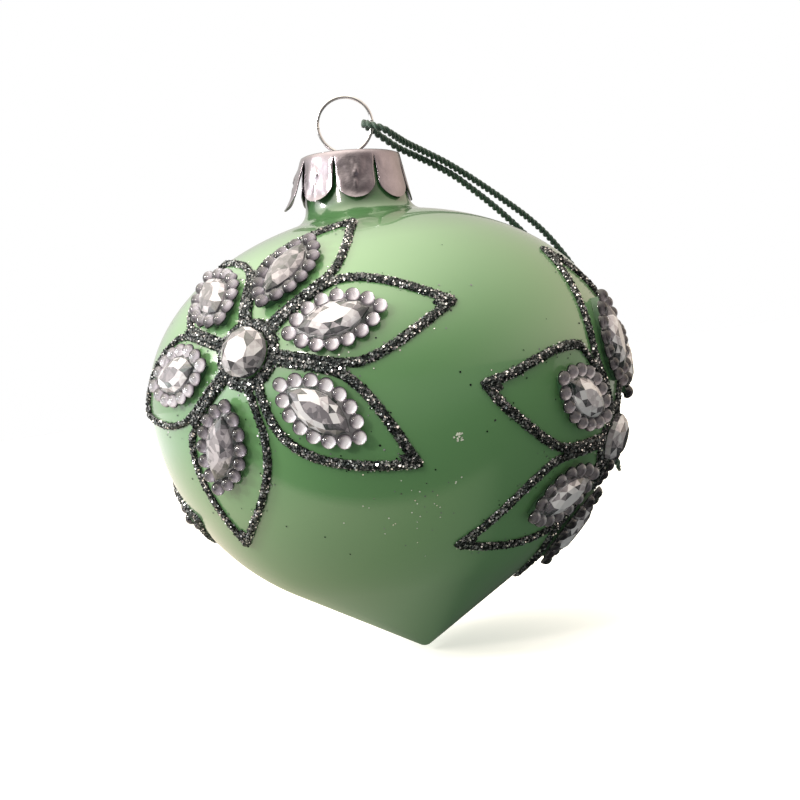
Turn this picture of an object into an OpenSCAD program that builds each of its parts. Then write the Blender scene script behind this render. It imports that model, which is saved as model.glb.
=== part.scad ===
// Bulb ornament: a blown glass bauble with stone flowers, a crown cap, a wire hanger and a cord.
// Millimetres, +Z up. The origin is the inside top of the wire ring, where a hook bears.
// Turns round the axis are counted from the front (-Y), positive towards +X.

/* [Glass bulb] */
// Widest diameter of the glass
bulb_d = 90; // [84:0.5:100]
// Height of the dome above the widest ring
dome_h = 32; // [28:0.5:36]
// How far the drawn tip reaches below a full ball
tip_drop = 8; // [5:0.5:14]
// Rounding of the tip
tip_round = 2; // [1:0.25:4]
// Thickness of the blown glass
glass_wall = 1; // [0.6:0.1:1.6]

/* [Neck] */
// Outside diameter of the mouth
mouth_d = 17.8; // [16:0.1:20]
// Height of the mouth above the dome's crown
neck_h = 10.4; // [9.5:0.1:13]
// Widening of the neck on each side, in degrees
neck_taper = 7; // [3:0.5:9]
// Size of the blend between neck and dome
neck_blend = 2.5; // [1:0.25:3.5]

/* [Crown cap] */
// Thickness of the stamped sheet
cap_sheet = 0.3; // [0.2:0.05:0.5]
// Clearance between the cap and the neck
cap_play = 0.25; // [0.15:0.05:0.4]
// Height of the scalloped skirt below the top face
skirt_h = 9; // [7.5:0.25:9.5]
// Plain band above the slits
skirt_band = 1.8; // [1:0.1:3]
// Number of tongues on the skirt
tongues = 8; // [6:1:10]
// Width of a slit between two tongues
slit_w = 0.5; // [0.3:0.1:1]
// Turn of the cap round the axis, from a tongue in front towards +X
cap_turn = 6; // [-22:1:22]
// Diameter of the hole that the hanger's pins pass through
hanger_hole_d = 2.6; // [2.4:0.1:3.4]

/* [Wire hanger] */
// Thickness of the wire
wire_d = 0.7; // [0.5:0.05:0.9]
// Width of the ring, wire centre to wire centre
ring_w = 10.5; // [9:0.25:12]
// Height from the middle of the ring's round top down to the cap
ring_drop = 6.35; // [5.5:0.05:8]
// Spacing of the two pins in the cap's hole
pin_gap = 1.1; // [1:0.05:1.3]
// Depth of the sprung legs below the cap's top
leg_depth = 23; // [16:0.5:28]
// Clearance of the leg ends from the mouth's inside
leg_play = 0.4; // [0.3:0.05:1]

/* [Cord] */
// Thickness of the twisted cord
cord_d = 1.5; // [1:0.1:1.8]
// Diameter of the overhand knot
knot_d = 4.8; // [4:0.1:5.5]

/* [Stones] */
// Length of a navette stone over its beads
navette_l = 18.2; // [15:0.1:19]
// Width of a navette stone over its beads
navette_w = 11; // [9:0.1:11.4]
// Thickness of a stone's backing plate
plate_h = 0.7; // [0.5:0.1:1.2]
// Diameter of the rim beads
bead_d = 2.4; // [1.6:0.1:2.5]
// Height of the rim beads above a stone's back
bead_h = 1.5; // [1.2:0.1:1.6]
// Beads along one side of a navette, between its end beads
side_beads = 6; // [5:1:7]
// Height of a navette's cut crown above its plate
navette_crown = 1.5; // [1:0.1:2.2]
// Diameter of the round centre stone
round_d = 8.8; // [7:0.1:9]
// Height of the round stone's cut crown above its plate
round_crown = 2; // [1.2:0.1:2.4]
// Thickness of the glue between a stone's middle and the glass
glue_h = 0.5; // [0.3:0.05:0.7]

/* [Flowers] */
// Turn of each flower's middle round the axis
flower_turn = [-30, 71, -126]; // [-180:1:180]
// Angle of each flower's middle above the widest ring
flower_rise = [10, -22, -20]; // [-30:1:15]
// Distance from a flower's middle to the middle of its petal stones
stone_reach = [16.9, 18.4, 17.5]; // [15:0.1:20]
// Width of a glitter line
line_w = 1.9; // [1.2:0.1:2.1]
// Height of a glitter line
line_h = 0.8; // [0.4:0.1:1.2]

/* [Hidden] */
// Bearing of each petal stone round its flower's middle, anticlockwise from the right
stone_bearing = [
  [13, 72, 131, 185, 243, 319],
  [45, 102, 155, 214, 268, 335],
  [46, 102, 160, 220, 280, 340]
];
// Bearing and reach of each petal's tip, and how far its line swells ahead of that bearing and behind it
tip_bearing = [
  [11, 69, 128, 188, 248, 320],
  [45, 102, 167, 217, 272, 335],
  [48, 104, 160, 220, 280, 341]
];
tip_reach = [
  [37.5, 38.5, 35, 39, 37.5, 35.5],
  [39, 39, 40, 40, 33, 39],
  [36, 40, 40, 40, 40, 41]
];
swell_ahead = [
  [8, 7.6, 6.6, 6.6, 7.4, 6],
  [7, 7, 7, 7, 7, 7],
  [7, 7, 7, 7, 7, 7]
];
swell_behind = [
  [6.8, 8, 6.6, 7.2, 8, 7],
  [7, 7, 10, 7.6, 7.4, 7],
  [7, 7, 7, 7, 7, 7]
];
// Outward bend of each tongue of the cap, from the front one round towards +X
tongue_bend = [0, 1, 2, 0, 1, 2, 12, 1];

// Route of the cord, from the knot up to the bight in the ring and back down
cord_route = [
  [47.2, 43.4, -72], [47.6, 43.6, -68], [48, 43.7, -62], [48.1, 43.4, -56],
  [47.8, 42.8, -50], [46.8, 41.6, -44], [45, 39.8, -38.6], [42.4, 37.4, -34],
  [38.8, 33.9, -29.2], [35.2, 30.2, -25.6], [31.6, 26.6, -22.6], [25.6, 20.6, -18],
  [19.7, 14.7, -13.9], [14.7, 9.2, -11.2], [11.4, 4.4, -9.7], [9.2, 0, -8.6],
  [7.4, -2.4, -7.4], [5.2, -2.4, -6.2], [3.8, -0.8, -5.4], [3.8, 1.2, -5.4],
  [5.2, 3.2, -6.4], [7.2, 4.7, -8.1], [9.8, 6.7, -10.1], [13, 9.6, -11.8],
  [16.4, 12.8, -13.6], [20.2, 16.2, -16], [24, 19.6, -19.2], [28.2, 23.6, -23],
  [32.3, 27.6, -27.2], [36.2, 31.6, -31.8], [39.8, 35.4, -37], [42.4, 38.6, -43],
  [44, 41, -49.6], [44.8, 42.6, -56.4], [45.2, 43.6, -62.4], [45.6, 44.4, -68],
  [46, 44.6, -72]
];
// Middle of the knot, and the cut ends of its two tails
knot_at = [46.6, 44, -74];
tail_root = [[47.3, 43.3, -74.6], [45.9, 44.7, -74.6]];
tail_end = [[48, 42.5, -82.4], [45.5, 45.4, -81]];
cord_sides = 8;

flowers = len(flower_turn);
petals = len(stone_bearing[0]);

$fn = 64;
eps = 0.01;

// Heights down from the hook: ring, cap, mouth, dome and widest ring
ring_r = ring_w / 2;
ring_z = wire_d / 2 - ring_r;
cap_top = ring_z - ring_drop;
mouth_gap = 0.1;
mouth_z = cap_top - cap_sheet - mouth_gap;
bulb_z = mouth_z - neck_h - dome_h;

// Glass outline: a ball below, a flattened dome above and a cone drawn to the tip
bulb_r = bulb_d / 2;
cone_half = asin(bulb_r / (bulb_r + tip_drop));
mouth_r = mouth_d / 2;
seat_gap = 0.03;
arc_steps = 18;

function unit(v) = v / norm(v);
function mix(a, b, t) = a + (b - a) * t;

// Points of the glass outline, grown by g, from the tip up to the mouth
function tip_points(g) =
  let (r = tip_round + g, z = (tip_round - bulb_r) / sin(cone_half))
  [for (i = [0:4]) let (a = -90 + i * (90 - cone_half) / 4) [r * cos(a), z + r * sin(a)]];
function ball_points(g) =
  [for (i = [0:arc_steps]) let (a = -cone_half * (1 - i / arc_steps))
    (bulb_r + g) * [cos(a), sin(a)]];
function dome_point(g, a) = [(bulb_r + g) * cos(a), (dome_h + g) * sin(a)];
function neck_point(g, z) = [mouth_r + g + (dome_h + neck_h - z) * tan(neck_taper), z];
function neck_blend_points(g) =
  let (root = neck_point(g, dome_h * sqrt(1 - pow(mouth_r / bulb_r, 2))))
  let (out = dome_point(g, acos((root[0] + neck_blend) / (bulb_r + g))))
  let (up = neck_point(g, root[1] + neck_blend))
  [for (i = [0:6]) let (t = i / 6) mix(mix(out, root, t), mix(root, up, t), t)];
function dome_points(g) =
  let (last = acos(neck_blend_points(g)[0][0] / (bulb_r + g)))
  [for (i = [1:arc_steps]) dome_point(g, last * i / (arc_steps + 1))];
function glass_outline(g) = concat(
  tip_points(g), ball_points(g), dome_points(g), neck_blend_points(g),
  [neck_point(g, dome_h + neck_h)]
);
function reversed(list) = [for (i = [len(list) - 1:-1:0]) list[i]];

// Distance from the middle of the widest ring to the glass along a unit direction, and the normal there
function is_cone(u) = u[2] < -sin(cone_half);
function reach(u) =
  let (flat = norm([u[0], u[1]]))
  u[2] >= 0 ? 1 / sqrt(pow(flat / bulb_r, 2) + pow(u[2] / dome_h, 2))
  : is_cone(u) ? bulb_r / (flat * cos(cone_half) - u[2] * sin(cone_half))
  : bulb_r;
function glass_point(u) = [0, 0, bulb_z] + reach(u) * u;
function glass_normal(u) =
  let (flat = max(norm([u[0], u[1]]), eps))
  u[2] >= 0 ? unit([u[0] / pow(bulb_r, 2), u[1] / pow(bulb_r, 2), u[2] / pow(dome_h, 2)])
  : is_cone(u) ? [cos(cone_half) * u[0] / flat, cos(cone_half) * u[1] / flat, -sin(cone_half)]
  : u;

// Direction of a point on flower f, laid out from its middle along a bearing and aside from it
function petal_dir(f, bearing, along, aside) =
  let (az = flower_turn[f] - 90, rise = flower_rise[f])
  let (middle = [cos(rise) * cos(az), cos(rise) * sin(az), sin(rise)])
  let (right = [-sin(az), cos(az), 0])
  let (up = cross(middle, right))
  let (swing = norm([along, aside]) / bulb_r * 180 / PI)
  let (turn = bearing + atan2(aside, along))
  cos(swing) * middle + sin(swing) * (cos(turn) * right + sin(turn) * up);

// Stands its children on the glass of flower f, +Z outwards and +X away from the flower's middle
module on_flower(f, bearing, along) {
  u = petal_dir(f, bearing, along, 0);
  p = glass_point(u);
  n = glass_normal(u);
  ahead = glass_point(petal_dir(f, bearing, along + 1, 0)) - p;
  x = unit(ahead - (ahead * n) * n);
  y = cross(n, x);
  multmatrix([
    [x[0], y[0], n[0], p[0]],
    [x[1], y[1], n[1], p[1]],
    [x[2], y[2], n[2], p[2]],
    [0, 0, 0, 1]
  ]) children();
}

// Pointed oval of a given length and width, as two arcs
function oval_r(l, w) = (l * l + w * w) / (4 * w);
function oval_half(l, w) = asin(l / 2 / oval_r(l, w));
function oval_point(l, w, side, a) =
  let (r = oval_r(l, w))
  [r * sin(a), side * (r * cos(a) - (r - w / 2))];
module oval_prism(l, w, h) {
  r = oval_r(l, w);
  intersection() {
    translate([0, w / 2 - r, 0]) cylinder(r = r, h = h);
    translate([0, r - w / 2, 0]) cylinder(r = r, h = h);
  }
}

// Tube of regular sections swept along points
function route_tangents(pts) =
  [for (i = [0:len(pts) - 1]) unit(pts[min(i + 1, len(pts) - 1)] - pts[max(i - 1, 0)])];
function carried(tangents, v, i = 0) =
  i == len(tangents) ? []
  : let (w = unit(v - (v * tangents[i]) * tangents[i])) concat([w], carried(tangents, w, i + 1));
function smooth_point(a, b, c, d) = (9 * (b + c) - a - d) / 16;
function smoothed(pts) =
  let (last = len(pts) - 1)
  concat(
    [for (i = [0:last - 1]) for (half = [0, 1])
      half == 0 ? pts[i]
      : smooth_point(pts[max(i - 1, 0)], pts[i], pts[i + 1], pts[min(i + 2, last)])],
    [pts[last]]
  );
module skin(rings) {
  m = len(rings[0]);
  n = len(rings);
  polyhedron(
    points = [for (ring = rings) for (p = ring) p],
    faces = concat(
      [[for (k = [0:m - 1]) k]],
      [for (i = [0:n - 2]) for (k = [0:m - 1]) for (half = [0, 1])
        let (a = i * m + k, b = i * m + (k + 1) % m)
        half == 0 ? [a, a + m, b + m] : [a, b + m, b]],
      [[for (k = [m - 1:-1:0]) (n - 1) * m + k]]
    )
  );
}
module tube(pts, d, sides) {
  tangents = route_tangents(pts);
  first = cross(tangents[0], [0, 1, 0]);
  across = carried(tangents, first);
  skin([for (i = [0:len(pts) - 1])
    let (u = across[i], v = cross(tangents[i], u))
    [for (k = [0:sides - 1]) let (a = 360 * k / sides) pts[i] + d / 2 * (cos(a) * u + sin(a) * v)]]);
}

// Straight round rod from a to b
module rod(a, b, d) {
  v = b - a;
  translate(a) rotate([0, acos(v[2] / norm(v)), atan2(v[1], v[0])]) cylinder(d = d, h = norm(v));
}

// Full solid inside the glass outline, grown by g
module bulb_solid(g) {
  translate([0, 0, bulb_z])
    rotate_extrude($fn = 360) polygon(concat([[0, dome_h + neck_h]], glass_outline(g)));
}

module glass_bulb() {
  color("darkseagreen")
    translate([0, 0, bulb_z])
      rotate_extrude() polygon(concat(glass_outline(0), reversed(glass_outline(-glass_wall))));
}

// Crown cap: a drawn cup whose skirt is slit into tongues with round ends
skirt_top_r = mouth_r + cap_play;
skirt_foot = cap_top - skirt_h;
skirt_root = cap_top - skirt_band;
function skirt_r(z) = skirt_top_r + (mouth_z - z) * tan(neck_taper);
function tongue_w(z) = 2 * skirt_r(z) * sin(180 / tongues) - slit_w;
cap_edge = 0.5;
band_swell = 0.08;
module cap_cup(swell) {
  sheet = cap_sheet + swell;
  rotate_extrude() polygon([
    [0, cap_top], [skirt_r(cap_top) + sheet - cap_edge, cap_top],
    [skirt_r(cap_top) + sheet, cap_top - cap_edge],
    [skirt_r(skirt_foot) + sheet, skirt_foot], [skirt_r(skirt_foot) - swell, skirt_foot],
    [skirt_r(cap_top) - swell, cap_top - cap_sheet], [0, cap_top - cap_sheet]
  ]);
}
module tongue_shape() {
  ball = tongue_w(skirt_foot) / 2;
  wide = skirt_foot + ball;
  top = skirt_root + cap_sheet;
  translate([0, wide]) circle(r = ball);
  polygon([
    [-tongue_w(skirt_root) / 2, top], [-ball, wide], [ball, wide], [tongue_w(skirt_root) / 2, top]
  ]);
}
module tongue(k) {
  hinge = [skirt_r(skirt_root), 0, skirt_root];
  rotate([0, 0, 360 * k / tongues - 90 + cap_turn])
    translate(hinge) rotate([0, -tongue_bend[k % len(tongue_bend)], 0]) translate(-hinge)
      intersection() {
        cap_cup(0);
        rotate([90, 0, 90]) linear_extrude(bulb_r) tongue_shape();
      }
}
module crown_cap() {
  color("silver") {
    difference() {
      cap_cup(band_swell);
      translate([0, 0, skirt_root - skirt_h]) cylinder(r = bulb_r, h = skirt_h);
      translate([0, 0, skirt_root]) cylinder(d = hanger_hole_d, h = 2 * skirt_band);
    }
    for (k = [0:tongues - 1]) tongue(k);
  }
}

// Wire hanger: a round top on two long arcs that close into pins, with sprung legs below the cap
knuckle_d = wire_d + 0.08;
pin_x = pin_gap / 2;
pin_top = cap_top + wire_d;
foot_x = mouth_r - glass_wall - wire_d / 2 - leg_play;
module wire_arc(mid, r, from, to) {
  translate([mid[0], 0, mid[1]]) rotate([90, 0, 0]) rotate([0, 0, from])
    rotate_extrude(angle = to - from) translate([r, 0]) circle(d = wire_d);
}
module hanger_side() {
  inset = ring_r - pin_x;
  fall = ring_z - pin_top;
  side_r = (inset * inset + fall * fall) / (2 * inset);
  bend = skirt_root;
  foot = cap_top - leg_depth;
  wire_arc([ring_r - side_r, ring_z], side_r, -asin(fall / side_r), 0);
  rod([pin_x, 0, bend], [pin_x, 0, pin_top], wire_d);
  rod([foot_x, 0, foot], [pin_x, 0, bend], wire_d);
  for (z = [pin_top, bend]) translate([pin_x, 0, z]) sphere(d = knuckle_d);
  translate([foot_x, 0, foot]) sphere(d = knuckle_d);
}
module hanger_wire() {
  color("gainsboro") {
    wire_arc([0, ring_z], ring_r, 0, 180);
    for (x = [-ring_r, ring_r]) translate([x, 0, ring_z]) sphere(d = knuckle_d);
    hanger_side();
    mirror([1, 0, 0]) hanger_side();
  }
}

module hanging_cord() {
  color("darkgreen") tube(smoothed(cord_route), cord_d, cord_sides);
}

module cord_knot() {
  color("darkgreen") {
    translate(knot_at) sphere(d = knot_d);
    for (k = [0, 1]) rod(tail_root[k], tail_end[k], cord_d);
  }
}

// Navette stone: a backing plate, a rim of beads and a cut crown with a small table
plate_inset = 0.9;
girdle_inset = 0.2;
crown_girdle = 0.5;
table_share = [0.5, 0.42];
crown_cuts = 6;
function crown_ring(l, w, share, z) = concat(
  [for (i = [0:crown_cuts - 1])
    let (a = oval_half(l, w) * (1 - 2 * i / crown_cuts), p = oval_point(l, w, 1, a))
    [share[0] * p[0], share[1] * p[1], z]],
  [for (i = [0:crown_cuts - 1])
    let (a = -oval_half(l, w) * (1 - 2 * i / crown_cuts), p = oval_point(l, w, -1, a))
    [share[0] * p[0], share[1] * p[1], z]]
);
module rim_bead() {
  intersection() {
    translate([0, 0, bead_h - bead_d / 2]) sphere(d = bead_d);
    cylinder(d = 2 * bead_d, h = 2 * bead_d);
  }
}
module navette_stone() {
  plate_top = glue_h + plate_h;
  l = navette_l - bead_d;
  w = navette_w - bead_d;
  half = oval_half(l, w);
  step = 2 * half / (side_beads + 1);
  crown_l = l - 1.35 * bead_d;
  crown_w = w - 1.3 * bead_d;
  translate([0, 0, glue_h]) oval_prism(navette_l - 2 * plate_inset, navette_w - 2 * plate_inset, plate_h);
  for (side = [-1, 1]) for (i = [1:side_beads]) {
    p = oval_point(l, w, side, i * step - half);
    translate([p[0], p[1], glue_h]) rim_bead();
  }
  for (end = [-1, 1]) translate([end * l / 2, 0, glue_h]) rim_bead();
  skin([
    crown_ring(crown_l, crown_w, [1, 1], plate_top - plate_h / 4),
    crown_ring(crown_l, crown_w, [1, 1], plate_top + crown_girdle),
    crown_ring(crown_l, crown_w, table_share, plate_top + navette_crown)
  ]);
}

// Round stone: a plate under a cut crown with a flat table
round_cuts = 10;
round_table = 0.55;
module round_stone() {
  plate_top = glue_h + plate_h;
  translate([0, 0, glue_h]) cylinder(d = round_d, h = plate_h + crown_girdle);
  translate([0, 0, plate_top + crown_girdle / 2])
    cylinder(d1 = round_d - 2 * girdle_inset, d2 = round_d * round_table, h = round_crown - crown_girdle / 2,
      $fn = round_cuts);
}

module petal_stone(f, p) {
  color("lightgray") on_flower(f, stone_bearing[f][p], stone_reach[f]) navette_stone();
}
module centre_stone(f) {
  color("whitesmoke") on_flower(f, 0, 0) round_stone();
}

// Glue beds: what fills the wedge between a stone's flat back and the round glass
bed_inset = 1.2;
bed_depth = 4;
module glue_beds(f) {
  color("honeydew") difference() {
    union() {
      on_flower(f, 0, 0) translate([0, 0, -bed_depth])
        cylinder(d = round_d - 2 * bed_inset, h = bed_depth + glue_h);
      for (b = stone_bearing[f]) on_flower(f, b, stone_reach[f]) translate([0, 0, -bed_depth])
        oval_prism(navette_l - 2 * bed_inset, navette_w - 2 * bed_inset, bed_depth + glue_h);
    }
    bulb_solid(seat_gap);
  }
}

// Glitter outlines: a raised line round each petal, from the centre stone out to the tip and back
line_steps = 12;
line_section = [[-1, 0], [-0.75, 0.65], [0, 1], [0.75, 0.65], [1, 0]];
line_apart = 0.3;
thin_half = 0.3 * line_w;
line_root = round_d / 2 + 0.5;
root_half = 2.2;
bend_reach = 30;
// Bearing of a petal's axis, which bends from its stone's bearing to its tip's
function axis_bearing(f, p, along) =
  mix(stone_bearing[f][p], tip_bearing[f][p], max(0, min(1, (along - line_root) / bend_reach)));
function bearing_gap(f, p, way, along) =
  let (d = way * (axis_bearing(f, (p + way + petals) % petals, along) - axis_bearing(f, p, along)))
  d > 0 ? d : d + 360;
function petal_half(swell, t) = root_half * (1 - t) + swell * sin(180 * pow(t, 0.8));
// Lesser of two widths, with a rounded change from one to the other
function eased_min(a, b) = (a + b - sqrt(pow(a - b, 2) + 0.6)) / 2;
// Outline at s, from -1 at one root through 0 at the tip to 1 at the other root: how far along the petal,
// how far aside, and half the line's width, which thins where it runs beside the next petal's line
function outline_way(s) = s < 0 ? 1 : -1;
function outline_along(f, p, s) = mix(line_root, tip_reach[f][p], 1 - abs(s));
function outline_room(f, p, s) =
  let (along = outline_along(f, p, s))
  along * tan(bearing_gap(f, p, outline_way(s), along) / 2) - thin_half - line_apart;
function outline_aside(f, p, s) =
  let (swell = s < 0 ? swell_ahead[f][p] : swell_behind[f][p])
  s == 0 ? 0 : max(eased_min(petal_half(swell, 1 - abs(s)), outline_room(f, p, s)), 0);
function outline_half(f, p, s) =
  min(line_w / 2, thin_half + max(outline_room(f, p, s) - outline_aside(f, p, s), 0));
function outline_dir(f, p, s) =
  let (along = outline_along(f, p, s))
  petal_dir(f, axis_bearing(f, p, along), along, outline_way(s) * outline_aside(f, p, s));
module petal_outline(f, p) {
  marks = [for (i = [-line_steps:line_steps]) i / line_steps];
  dirs = [for (s = marks) outline_dir(f, p, s)];
  spots = [for (u = dirs) glass_point(u) + seat_gap * glass_normal(u)];
  tangents = route_tangents(spots);
  skin([for (i = [0:len(dirs) - 1])
    let (n = glass_normal(dirs[i]), side = unit(cross(tangents[i], n)), half = outline_half(f, p, marks[i]))
    [for (q = line_section) spots[i] + q[0] * half * side + q[1] * line_h * n]]);
}
module glitter_outline(f) {
  color("dimgray") for (p = [0:petals - 1]) petal_outline(f, p);
}

glass_bulb();
crown_cap();
hanger_wire();
hanging_cord();
cord_knot();
for (f = [1:flowers]) {
  centre_stone(f - 1);
  for (p = [1:petals])
    petal_stone(f - 1, p - 1);
  glitter_outline(f - 1);
  glue_beds(f - 1);
}
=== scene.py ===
import math
import random

import bmesh
import bpy
from mathutils import Matrix, Vector, noise


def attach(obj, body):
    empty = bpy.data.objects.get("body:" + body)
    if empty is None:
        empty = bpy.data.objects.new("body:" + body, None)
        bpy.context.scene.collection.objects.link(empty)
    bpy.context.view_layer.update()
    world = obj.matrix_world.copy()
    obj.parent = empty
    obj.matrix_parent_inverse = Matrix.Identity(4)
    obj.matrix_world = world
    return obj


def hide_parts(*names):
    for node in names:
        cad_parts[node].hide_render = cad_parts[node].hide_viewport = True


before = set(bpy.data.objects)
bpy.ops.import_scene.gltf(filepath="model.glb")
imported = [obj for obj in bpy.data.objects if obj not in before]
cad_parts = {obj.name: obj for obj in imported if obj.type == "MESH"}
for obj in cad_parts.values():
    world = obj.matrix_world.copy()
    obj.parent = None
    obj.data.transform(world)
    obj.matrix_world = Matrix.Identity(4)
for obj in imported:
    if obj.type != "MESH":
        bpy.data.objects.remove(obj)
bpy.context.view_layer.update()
MM = 0.001

# Sizes in millimetres, as in the part's source

# Glass
BULB_R = 45.0
DOME_H = 32.0
TIP_DROP = 8.0
TIP_ROUND = 2.0
WALL = 1.0
CONE = math.asin(BULB_R / (BULB_R + TIP_DROP))
# Neck
MOUTH_R = 8.9
NECK_H = 10.4
NECK_TAPER = math.tan(math.radians(7))
NECK_BLEND = 2.5
RIM_ROUND = 0.25
# Crown cap
CAP_TOP = -11.25
CAP_SHEET = 0.3
CAP_PLAY = 0.25
CAP_SEAT = 0.1
CAP_TURN = 6
SKIRT_H = 9.0
TONGUES = 8
SLIT = 0.5
MOUTH_Z = CAP_TOP - CAP_SHEET - CAP_SEAT
BULB_Z = MOUTH_Z - NECK_H - DOME_H
# Stones
PETALS = 6
GLUE_H = 0.5
PLATE_H = 0.7
BEAD_D = 2.4
BEAD_H = 1.5
SIDE_BEADS = 6
NAVETTE_L = 18.2
NAVETTE_W = 11.0
NAVETTE_CROWN = 1.5
ROUND_D = 8.8
ROUND_CROWN = 2.0
# Glitter lines
LINE_W = 1.9
LINE_H = 0.8
LINE_ROOT = ROUND_D / 2 + 0.5
LINE_THIN = 0.3 * LINE_W
LINE_APART = 0.3

# Directions to the two lamps
LAMP_SIDE = (-0.91, -0.12, 0.44)
LAMP_FRONT = (-0.60, -0.73, 0.47)

# Flowers, with bearings in degrees anticlockwise from the right
FLOWERS = [
    # foil is painted light, how light or dark each stone is drawn as the light falls on it; line the share of
    # its width that each petal's glitter fills
    dict(turn=-30, rise=10, reach=16.9,
         stones=[13, 72, 131, 185, 243, 319],
         tips=[11, 69, 128, 188, 248, 320],
         tip_reach=[37.5, 38.5, 35, 39, 37.5, 35.5],
         ahead=[8, 7.6, 6.6, 6.6, 7.4, 6],
         behind=[6.8, 8, 6.6, 7.2, 8, 7],
         foil=[1.05, 0.64, 0.9, 1.08, 0.62, 1.4],
         line=[0.88, 0.8, 0.68, 0.62, 0.75, 0.88]),
    dict(turn=71, rise=-22, reach=18.4,
         stones=[45, 102, 155, 214, 268, 335],
         tips=[45, 102, 167, 217, 272, 335],
         tip_reach=[39, 39, 40, 40, 33, 39],
         ahead=[7] * PETALS,
         behind=[7, 7, 10, 7.6, 7.4, 7],
         foil=[1.2, 1.1, 1.25, 1.35, 1.2, 1.1],
         line=[0.88] * PETALS),
    dict(turn=-126, rise=-20, reach=17.5,
         stones=[46, 102, 160, 220, 280, 340],
         tips=[48, 104, 160, 220, 280, 341],
         tip_reach=[36, 40, 40, 40, 40, 41],
         ahead=[7] * PETALS,
         behind=[7] * PETALS,
         foil=[1, 0.85, 1.1, 0.9, 1, 1.1],
         line=[0.88] * PETALS),
]

# Route of the cord, from the fold in the ring down each strand through the knot to its cut tail
STRAND_A = [
    (3.8, 0.2, -5.35), (3.8, -0.8, -5.4), (5.2, -2.4, -6.2), (7.4, -2.4, -7.4), (9.2, 0, -8.6),
    (11.4, 4.4, -9.7), (14.7, 9.2, -11.2), (19.7, 14.7, -13.9), (25.6, 20.6, -18), (31.6, 26.6, -22.6),
    (35.2, 30.2, -25.6), (38.8, 33.9, -29.2), (42.4, 37.4, -34), (45, 39.8, -38.6), (46.8, 41.6, -44),
    (47.8, 42.8, -50), (48.1, 43.4, -56), (48, 43.7, -62), (47.6, 43.6, -68), (47.2, 43.4, -72),
    (47.3, 43.3, -74.6), (47.6, 43, -78.2), (48, 42.5, -82.4)]
STRAND_B = [
    (3.8, 0.2, -5.35), (3.8, 1.2, -5.4), (5.2, 3.2, -6.4), (7.2, 4.7, -8.1), (9.8, 6.7, -10.1),
    (13, 9.6, -11.8), (16.4, 12.8, -13.6), (20.2, 16.2, -16), (24, 19.6, -19.2), (28.2, 23.6, -23),
    (32.3, 27.6, -27.2), (36.2, 31.6, -31.8), (39.8, 35.4, -37), (42.4, 38.6, -43), (44, 41, -49.6),
    (44.8, 42.6, -56.4), (45.2, 43.6, -62.4), (45.6, 44.4, -68), (46, 44.6, -72), (45.9, 44.7, -74.6),
    (45.7, 45.1, -78), (45.5, 45.4, -81)]
KNOT_AT = Vector((46.6, 44, -74))


# Camera at the photograph's angle
def make_camera():
    data = bpy.data.cameras.new("camera")
    data.sensor_width = 36
    data.lens = 67.5
    data.clip_start = 0.01
    camera = bpy.data.objects.new("camera", data)
    bpy.context.collection.objects.link(camera)
    right = Vector((0.98799, -0.00405, -0.15449))
    up = Vector((0.15454, 0.02587, 0.98765))
    ahead = Vector((0.0, 0.99966, -0.02618))
    place = Vector((2.35, -289.79, 2.69 + BULB_Z))
    view = Matrix((right, up, -ahead)).transposed().to_4x4()
    view.translation = place * MM
    camera.matrix_world = view
    bpy.context.scene.camera = camera


make_camera()


# Number and point helpers
def lerp(a, b, t):
    return a + (b - a) * t


def between(a, b, t):
    return tuple(lerp(p, q, t) for p, q in zip(a, b))


def clamp(value):
    return min(1, max(0, value))


def spoke(k, count):
    a = 2 * math.pi * k / count
    return Vector((math.cos(a), math.sin(a), 0))


def direction(turn, rise):
    return Vector((math.cos(rise) * math.cos(turn), math.cos(rise) * math.sin(turn), math.sin(rise)))


def jitter(n, amount, rng):
    return (n + amount * Vector((rng.uniform(-1, 1), rng.uniform(-1, 1), rng.uniform(-1, 1)))).normalized()


# Mesh helpers
def add_mesh(name, verts, faces, materials, body, smooth=True, slots=None):
    mesh = bpy.data.meshes.new(name)
    mesh.from_pydata([tuple(MM * c for c in v) for v in verts], [], faces)
    for m in materials:
        mesh.materials.append(m)
    if slots:
        mesh.polygons.foreach_set("material_index", slots)
    mesh.polygons.foreach_set("use_smooth", [smooth] * len(mesh.polygons))
    mesh.update()
    obj = bpy.data.objects.new(name, mesh)
    bpy.context.collection.objects.link(obj)
    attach(obj, body)
    return obj


def point_values(obj, name, values):
    attr = obj.data.attributes.new(name, "FLOAT", "POINT")
    attr.data.foreach_set("value", values)


def join_rings(faces, lo, hi, around):
    for k in range(around):
        k2 = (k + 1) % around
        faces.append((lo + k, lo + k2, hi + k2, hi + k))


def dress(node, look):
    materials = bpy.data.objects[node].data.materials
    materials.clear()
    materials.append(look)


# Material helpers
def material(name):
    m = bpy.data.materials.new(name)
    m.use_nodes = True
    return m, m.node_tree, m.node_tree.nodes["Principled BSDF"]


def set_inputs(node, **values):
    for key, value in values.items():
        node.inputs[key.replace("_", " ")].default_value = value


def feed(tree, socket, value):
    if isinstance(value, bpy.types.NodeSocket):
        tree.links.new(value, socket)
    else:
        socket.default_value = value


def ramp(tree, value, stops):
    r = tree.nodes.new("ShaderNodeValToRGB")
    ends = r.color_ramp.elements
    for end, (position, colour) in ((ends[0], stops[0]), (ends[1], stops[-1])):
        end.position = position
        end.color = (*colour, 1)
    for position, colour in stops[1:-1]:
        ends.new(position).color = (*colour, 1)
    tree.links.new(value, r.inputs["Fac"])
    return r.outputs["Color"]


def texture(tree, kind, coords, **values):
    t = tree.nodes.new(kind)
    tree.links.new(coords, t.inputs["Vector"])
    set_inputs(t, **values)
    return t


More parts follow.
